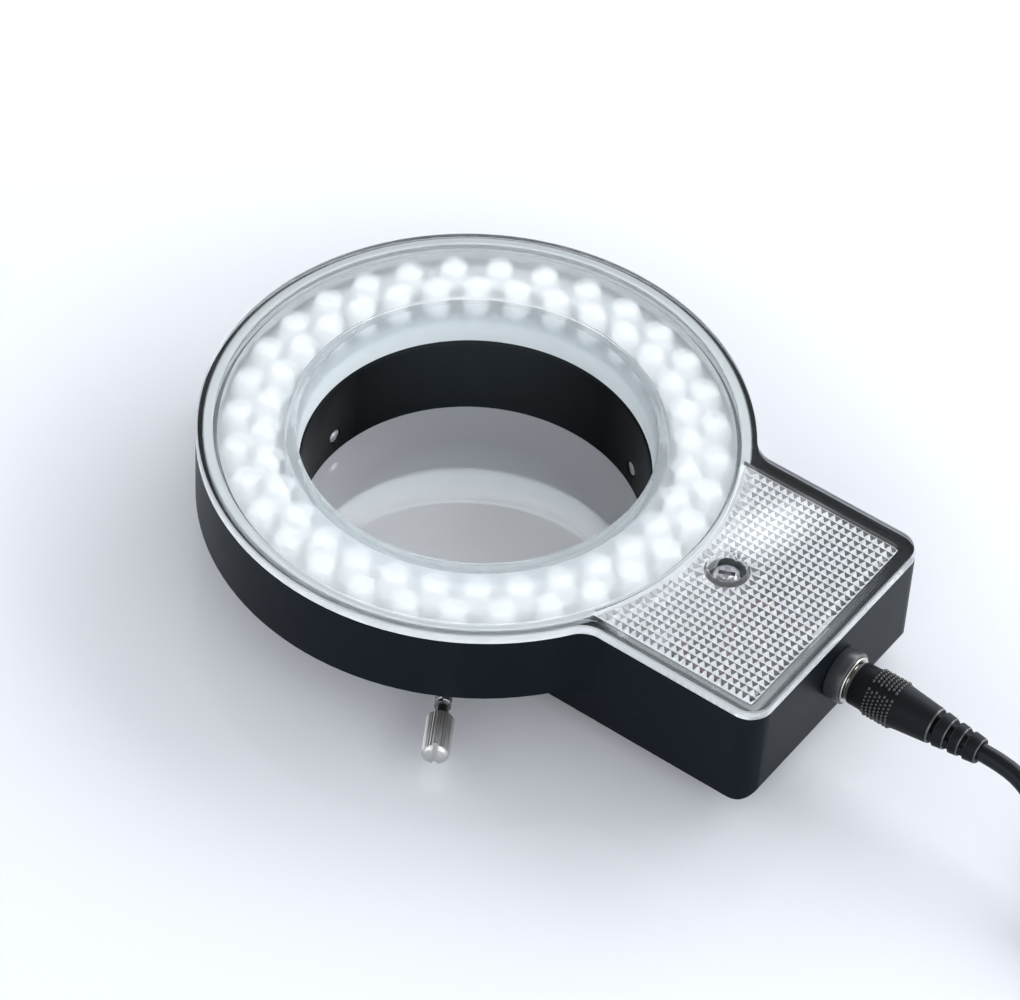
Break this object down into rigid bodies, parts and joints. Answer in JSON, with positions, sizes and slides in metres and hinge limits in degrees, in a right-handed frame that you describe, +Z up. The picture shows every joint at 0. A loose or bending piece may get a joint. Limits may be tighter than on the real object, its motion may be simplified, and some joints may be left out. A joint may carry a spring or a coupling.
{
  "type": "microscope ring light",
  "caption": "Ring of LEDs under a clear cover, clamped round a microscope objective by knurled screws, with a driver block, power socket, plug, coiled cord and mains adapter.",
  "frame": {"origin": "on the bore's axis, at the sleeve's lower rim, which the part rests on", "axes": "+X from the bore's axis along the driver block to the power socket, +Z up, towards the LEDs' light side"},
  "size_m": [0.3157, 0.1012, 0.042],
  "materials": {
    "housing_black": "fine matte moulded texture",
    "cover_clear": "clear moulded acrylic, milky over the LEDs",
    "sleeve_black": "satin black anodised, turned",
    "nickel": "bright nickel plate",
    "steel_screw": "zinc plated",
    "screw_black": "black oxide",
    "led_white": "water-clear LED body with white glow",
    "board_white": "white solder mask",
    "reflector_white": "white moulded",
    "board_green": "green solder mask",
    "chip_black": "moulded package",
    "ferrite": "ferrite with lacquered wire",
    "capacitor_sleeve": "printed-free shrink sleeve",
    "wire_red": "soft insulation",
    "wire_black": "soft insulation",
    "brass": "plain brass",
    "jack_black": "moulded",
    "insulator_yellow": "moulded",
    "plug_black": "satin overmould",
    "cord_black": "satin jacket",
    "tie_grey": "woven strap",
    "adapter_black": "fine texture"
  },
  "bodies": {
    "lamp": {"housing": "housing_black", "cover": "cover_clear", "cover_screw": "steel_screw", "sleeve": "sleeve_black", "sleeve_screws": "screw_black", "led_board": "board_white", "leds_outer": "led_white", "leds_inner": "led_white", "reflector": "reflector_white", "driver_board": "board_green", "board_screws": "steel_screw", "driver_chip": "chip_black", "driver_choke": "ferrite", "smoothing_capacitor": "capacitor_sleeve", "ballast_resistors": "chip_black", "lead_red": "wire_red", "lead_black": "wire_black", "led_leads": "wire_red", "jack_body": "jack_black", "jack_ring": "nickel", "jack_nut": "nickel", "jack_contact": "brass", "jack_pin": "nickel", "jack_tags": "brass"},
    "power_lead": {"plug_barrel": "nickel", "plug_insulator": "insulator_yellow", "plug_grip": "plug_black", "plug_relief": "plug_black", "cord_run": "cord_black", "cord_coil": "cord_black", "cord_ties": "tie_grey", "cord_tail": "cord_black", "adapter_relief": "plug_black", "adapter_case": "adapter_black", "adapter_lid": "adapter_black", "adapter_blades": "nickel", "adapter_board": "board_green", "adapter_transformer": "ferrite"},
    "pad_1": {"clamp_pad_1": "nickel"},
    "screw_1": {"thumbscrew_1": "nickel"},
    "pad_2": {"clamp_pad_2": "nickel"},
    "screw_2": {"thumbscrew_2": "nickel"},
    "pad_3": {"clamp_pad_3": "nickel"},
    "screw_3": {"thumbscrew_3": "nickel"}
  },
  "joints": [
    {"name": "plug_pull", "type": "slide", "parent": "lamp", "child": "power_lead", "axis": [1, 0, 0], "range_m": [0, 0.015]},
    {"name": "clamp_1_travel", "type": "slide", "parent": "lamp", "child": "pad_1", "axis": [-0.5, -0.866, 0], "range_m": [-0.0023, 0.0097]},
    {"name": "clamp_1_turn", "type": "hinge", "parent": "pad_1", "child": "screw_1", "pos_m": [0.02335, 0.04044, 0.0043], "axis": [-0.5, -0.866, 0], "range_deg": [-1656.5, 6984.5]},
    {"name": "clamp_2_travel", "type": "slide", "parent": "lamp", "child": "pad_2", "axis": [1, 0, 0], "range_m": [-0.0023, 0.0097]},
    {"name": "clamp_2_turn", "type": "hinge", "parent": "pad_2", "child": "screw_2", "pos_m": [-0.0467, 0, 0.0043], "axis": [1, 0, 0], "range_deg": [-1656.5, 6984.5]},
    {"name": "clamp_3_travel", "type": "slide", "parent": "lamp", "child": "pad_3", "axis": [-0.5, 0.866, 0], "range_m": [0, 0.012]},
    {"name": "clamp_3_turn", "type": "hinge", "parent": "pad_3", "child": "screw_3", "pos_m": [0.0245, -0.04244, 0.0043], "axis": [-0.5, 0.866, 0], "range_deg": [-0.5, 8640.5]}
  ],
  "couplings": [
    {"joint": "clamp_1_turn", "follows": "clamp_1_travel", "rad_per_m": 12566},
    {"joint": "clamp_2_turn", "follows": "clamp_2_travel", "rad_per_m": 12566},
    {"joint": "clamp_3_turn", "follows": "clamp_3_travel", "rad_per_m": 12566}
  ]
}
